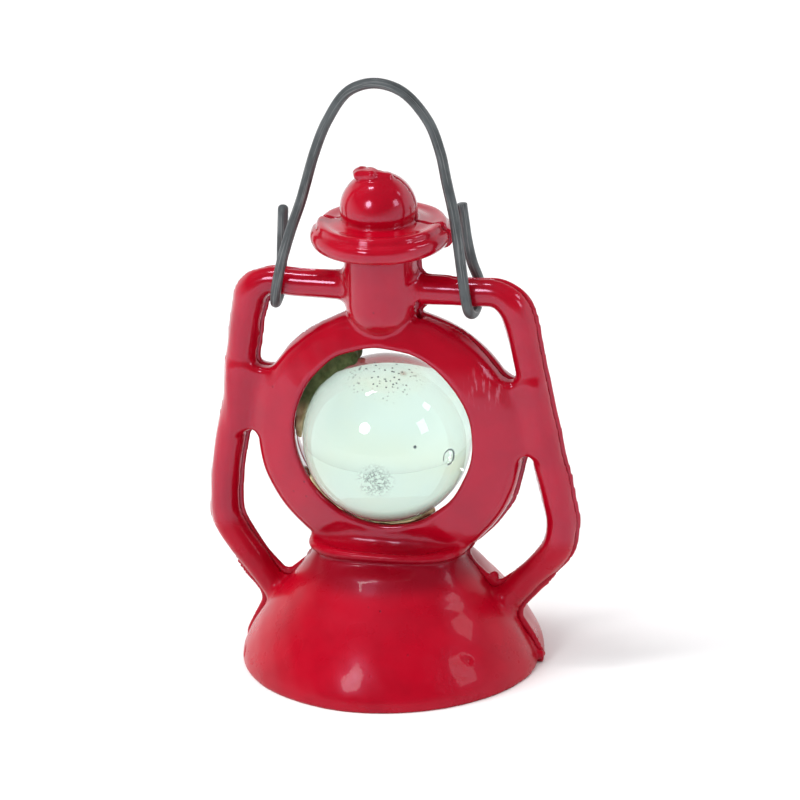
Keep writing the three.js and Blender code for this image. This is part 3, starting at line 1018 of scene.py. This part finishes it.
def direction(azimuth, elevation):
    """A unit vector: azimuth 0 is in front of the lantern and 90 on its right."""
    a, e = math.radians(azimuth), math.radians(elevation)
    return Vector((math.sin(a) * math.cos(e), -math.cos(a) * math.cos(e), math.sin(e)))


def floor():
    """A flat, pale floor, larger than the camera's view."""
    material = Nodes("pale_floor")
    fine = material.span(material.noise(40, 2), 0.3, 0.7, 0.55, 0.65)
    tone = material.colour(material.noise(6, 2), (0.93, 0.93, 0.935), (0.95, 0.95, 0.95))
    cloth = material.finish(Base_Color=tone, Roughness=fine, Specular_IOR_Level=0.2)
    half = 300
    corners = [(-half, -half, 0), (half, -half, 0), (half, half, 0), (-half, half, 0)]
    obj = new_piece("floor", corners, [(0, 1, 2, 3)], cloth, smooth=False)


def panel(name, azimuth, elevation, size, power, shape="RECTANGLE", distance=0.7, shines=True):
    """A soft light that faces the lantern. One that doesn't shine leaves no reflection."""
    light = bpy.data.lights.new(name, "AREA")
    light.shape = shape
    light.size = size[0]
    light.size_y = size[1]
    light.energy = power
    obj = bpy.data.objects.new(name, light)
    bpy.context.collection.objects.link(obj)
    aim = Vector((0, 0, 0.022))
    towards = direction(azimuth, elevation)
    obj.location = aim + distance * towards
    obj.rotation_mode = "QUATERNION"
    obj.rotation_quaternion = towards.to_track_quat("Z", "Y")
    obj.visible_camera = False
    obj.visible_glossy = shines


def studio():
    """A white tent: bright low down and behind, dimmer overhead and in front."""
    world = bpy.data.worlds.new("studio")
    bpy.context.scene.world = world
    world.use_nodes = True
    tree = world.node_tree
    place = tree.nodes.new("ShaderNodeTexCoord")
    split = tree.nodes.new("ShaderNodeSeparateXYZ")
    tree.links.new(place.outputs["Generated"], split.inputs[0])
    behind = tree.nodes.new("ShaderNodeMath")
    behind.operation = "MULTIPLY_ADD"
    behind.inputs[1].default_value = -0.45
    tree.links.new(split.outputs["Y"], behind.inputs[0])
    tree.links.new(split.outputs["Z"], behind.inputs[2])
    ramp = tree.nodes.new("ShaderNodeValToRGB")
    ramp.color_ramp.elements[0].position = 0.12
    ramp.color_ramp.elements[0].color = (1.0, 1.0, 1.0, 1)
    ramp.color_ramp.elements[1].position = 0.55
    ramp.color_ramp.elements[1].color = (0.13, 0.13, 0.135, 1)
    tree.links.new(behind.outputs[0], ramp.inputs[0])
    background = tree.nodes["Background"]
    tree.links.new(ramp.outputs[0], background.inputs["Color"])
    background.inputs["Strength"].default_value = 1.12

    panel("overhead_softbox", -68, 73, (0.055, 0.15), 0.8)
    panel("left_lamp", -20, 30, (0.19, 0.19), 1.3, shape="ELLIPSE")
    panel("right_card", 71, 25, (0.16, 0.2), 0.5)
    panel("high_right_card", 100, 40, (0.14, 0.12), 0.3)
    panel("side_fill", -75, 48, (0.3, 0.3), 2.4, shines=False)
    panel("fill", 0, 80, (1.1, 1.1), 5.0, distance=1.0, shines=False)


def camera():
    """A long lens, a little to the right of the front and above."""
    azimuth, elevation, roll = 14.6, 21.1, math.radians(1.75)
    target, distance = Vector((0, 0, 0.025)), 0.5
    aside, above = 0.00131, 0.0007
    back = direction(azimuth, elevation)
    right = Vector((0, 0, 1)).cross(back).normalized()
    up = back.cross(right)
    turned_right = math.cos(roll) * right - math.sin(roll) * up
    turned_up = math.sin(roll) * right + math.cos(roll) * up
    data = bpy.data.cameras.new("camera")
    data.lens = 239.5
    data.sensor_width = 36.0
    data.clip_start = 0.05
    data.clip_end = 20
    obj = bpy.data.objects.new("camera", data)
    bpy.context.collection.objects.link(obj)
    place = target + distance * back + aside * right + above * up
    turn = Matrix((turned_right, turned_up, back)).transposed().to_4x4()
    obj.matrix_world = Matrix.Translation(place) @ turn
    bpy.context.scene.camera = obj


floor()
studio()
camera()
bpy.context.scene.view_settings.view_transform = "Standard"
